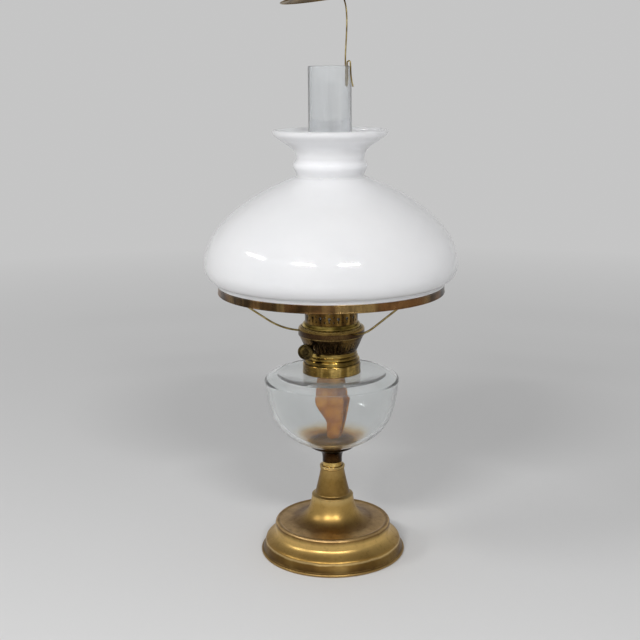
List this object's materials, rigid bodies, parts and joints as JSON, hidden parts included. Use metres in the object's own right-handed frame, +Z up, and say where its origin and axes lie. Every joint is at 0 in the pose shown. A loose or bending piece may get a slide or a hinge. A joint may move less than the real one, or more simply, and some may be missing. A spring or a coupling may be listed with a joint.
{
  "type": "kerosene lamp",
  "caption": "Kerosene table lamp: spun brass foot, clear glass font with hanging wick, pierced gallery, tall glass chimney, white glass shade on a wire tripod and a smoke bell.",
  "frame": {"origin": "centre of the foot's underside, on the surface that the lamp stands on", "axes": "+Z up through the middle of the lamp, -Y towards the viewer of the picture, +X to the viewer's right"},
  "size_m": [0.2604, 0.2604, 0.5943],
  "materials": {
    "foot_brass": "aged, half polished, darker in the hollows",
    "cast_iron": "rough casting",
    "base_metal": "dull dark lacquer",
    "steel": "plain turned",
    "bright_brass": "polished",
    "dark_brass": "tarnished",
    "plaster": "matt",
    "font_glass": "clear pressed glass",
    "burner_brass": "worn, slightly green",
    "wick_cloth": "woven cotton soaked in oil",
    "chimney_glass": "clear blown glass",
    "brass_wire": "drawn wire",
    "bell_brass": "spun, lightly tarnished",
    "ring_brass": "brown tarnish",
    "opal_glass": "glossy white opal glass"
  },
  "bodies": {
    "stand": {"foot_shell": "foot_brass", "foot_weight": "cast_iron", "base_plate": "base_metal", "base_washer": "steel", "tie_rod": "steel", "tie_nut": "steel", "stem_ring": "bright_brass", "font_cup": "dark_brass", "cup_plaster": "plaster", "glass_font": "font_glass", "collar_plaster": "plaster", "font_collar": "bright_brass"},
    "burner": {"burner_base": "burner_brass", "burner_drum": "burner_brass", "outer_wick_tube": "burner_brass", "inner_draught_tube": "burner_brass", "wheel_bracket": "burner_brass", "shaft_bush": "burner_brass", "gallery_seat": "burner_brass", "gallery_crown": "burner_brass"},
    "knob": {"wick_shaft": "steel", "wick_wheels": "steel", "wick_knob": "bright_brass"},
    "wick_body": {"wick": "wick_cloth"},
    "chimney_body": {"chimney": "chimney_glass"},
    "bell_body": {"smoke_bell_wire": "brass_wire", "smoke_bell": "bell_brass", "smoke_bell_nut": "bright_brass"},
    "tripod_body": {"tripod_collar": "dark_brass", "tripod_arm_1": "brass_wire", "tripod_arm_2": "brass_wire", "tripod_arm_3": "brass_wire", "shade_ring": "ring_brass"},
    "shade_body": {"shade": "opal_glass"}
  },
  "joints": [
    {"name": "burner_unscrew", "type": "hinge", "parent": "stand", "child": "burner", "pos_m": [0, 0, 0.2112], "axis": [0, 0, 1], "range_deg": [0, 360]},
    {"name": "wick_knob_turn", "type": "hinge", "parent": "burner", "child": "knob", "pos_m": [-0.01806, 0.00484, 0.22645], "axis": [-0.2588, -0.9659, 0], "range_deg": [-70, 122]},
    {"name": "wick_travel", "type": "slide", "parent": "burner", "child": "wick_body", "axis": [0, 0, 1], "range_m": [-0.004, 0.007]},
    {"name": "chimney_lift", "type": "slide", "parent": "burner", "child": "chimney_body", "axis": [0, 0, 1], "range_m": [0, 0.21]},
    {"name": "bell_lift", "type": "slide", "parent": "chimney_body", "child": "bell_body", "axis": [0, 0, 1], "range_m": [0, 0.04]},
    {"name": "tripod_lift", "type": "slide", "parent": "burner", "child": "tripod_body", "axis": [0, 0, 1], "range_m": [0, 0.05]},
    {"name": "shade_lift", "type": "slide", "parent": "tripod_body", "child": "shade_body", "axis": [0, 0, 1], "range_m": [0, 0.06]}
  ],
  "couplings": [
    {"joint": "wick_knob_turn", "follows": "wick_travel", "rad_per_m": 303.03}
  ]
}
